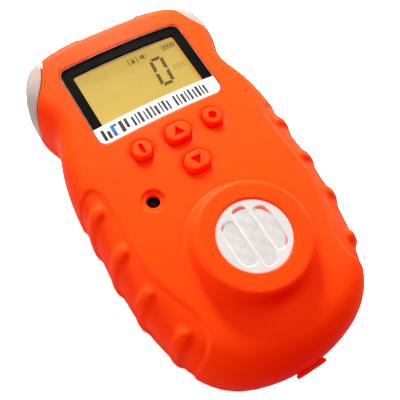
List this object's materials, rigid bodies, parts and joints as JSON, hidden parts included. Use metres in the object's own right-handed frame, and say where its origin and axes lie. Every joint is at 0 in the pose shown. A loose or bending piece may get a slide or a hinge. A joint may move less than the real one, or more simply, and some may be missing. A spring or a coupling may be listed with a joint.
{
  "type": "portable gas detector",
  "caption": "Handheld gas detector with a crowned rubberised case, raised sensor ring, lit display, press keys, clear alarm lenses and a sprung belt clip.",
  "frame": {"origin": "centre of the case's rear face, on the case's centre line", "axes": "+Z out of the display face, +Y towards the display end, +X to the right as the display is read"},
  "size_m": [0.0646, 0.1111, 0.0457],
  "materials": {
    "orange_rubber": "matte",
    "lens_clear": "gloss",
    "window_clear": "gloss",
    "mask_black": "gloss",
    "label_white": "satin",
    "lcd": "satin",
    "light_panel": "satin",
    "frame_plastic": "matte",
    "zebra": "matte",
    "board_green": "satin",
    "led": "gloss",
    "keypad_rubber": "matte",
    "black_plastic": "satin",
    "chip_black": "matte",
    "sensor_white": "satin",
    "membrane": "matte",
    "seal_grey": "matte",
    "seal_orange": "matte",
    "cell_grey": "satin",
    "contact_brass": "polished",
    "screw_steel": "satin",
    "clip_steel": "satin",
    "motor_steel": "satin",
    "pouch": "satin",
    "lead_wire": "satin"
  },
  "bodies": {
    "case": {"front_cover": "orange_rubber", "rear_cover": "orange_rubber", "case_gasket": "seal_grey", "case_screws": "screw_steel", "left_alarm_lens": "lens_clear", "right_alarm_lens": "lens_clear", "top_alarm_lens": "lens_clear", "window_lens": "window_clear", "window_mask": "mask_black", "name_plate": "label_white", "lcd_glass": "lcd", "lcd_backlight": "light_panel", "lcd_frame": "frame_plastic", "zebra_strip": "zebra", "display_board": "board_green", "alarm_leds": "led", "keypad_web": "keypad_rubber", "key_switches": "chip_black", "board_header": "chip_black", "main_board": "board_green", "board_screws": "screw_steel", "processor_chips": "chip_black", "sensor_cap": "sensor_white", "sensor_filter": "membrane", "sensor_gasket": "seal_orange", "sensor_cell": "cell_grey", "sensor_sockets": "contact_brass", "sounder": "black_plastic", "sounder_boot": "black_plastic", "motor_can": "motor_steel", "battery_cell": "pouch", "battery_leads": "lead_wire", "charge_socket": "motor_steel", "clip_base": "clip_steel", "clip_screws": "screw_steel", "clip_pin": "screw_steel", "clip_spring": "screw_steel"},
    "power_button": {"power_key": "keypad_rubber", "power_plunger": "black_plastic"},
    "up_button": {"up_key": "keypad_rubber", "up_plunger": "black_plastic"},
    "down_button": {"down_key": "keypad_rubber", "down_plunger": "black_plastic"},
    "enter_button": {"enter_key": "keypad_rubber", "enter_plunger": "black_plastic"},
    "lever": {"clip_lever": "clip_steel"},
    "plug": {"port_plug": "orange_rubber"},
    "motor_rotor": {"motor_shaft": "screw_steel", "motor_weight": "motor_steel"}
  },
  "joints": [
    {"name": "power_press", "type": "slide", "parent": "case", "child": "power_button", "axis": [0, 0, -1], "range_m": [0, 0.0006]},
    {"name": "up_press", "type": "slide", "parent": "case", "child": "up_button", "axis": [0, 0, -1], "range_m": [0, 0.0006]},
    {"name": "down_press", "type": "slide", "parent": "case", "child": "down_button", "axis": [0, 0, -1], "range_m": [0, 0.0006]},
    {"name": "enter_press", "type": "slide", "parent": "case", "child": "enter_button", "axis": [0, 0, -1], "range_m": [0, 0.0006]},
    {"name": "clip_open", "type": "hinge", "parent": "case", "child": "lever", "pos_m": [0, 0.016, -0.0042], "axis": [1, 0, 0], "range_deg": [0, 20], "stiffness_Nm_per_rad": 0.12, "springref_deg": -34.38, "deforming": ["clip_spring"]},
    {"name": "plug_open", "type": "hinge", "parent": "case", "child": "plug", "pos_m": [0, -0.0555, 0.013], "axis": [1, 0, 0], "range_deg": [0, 100]},
    {"name": "motor_spin", "type": "hinge", "parent": "case", "child": "motor_rotor", "pos_m": [0.0205, 0, 0.0184], "axis": [0, 1, 0], "continuous": true}
  ]
}
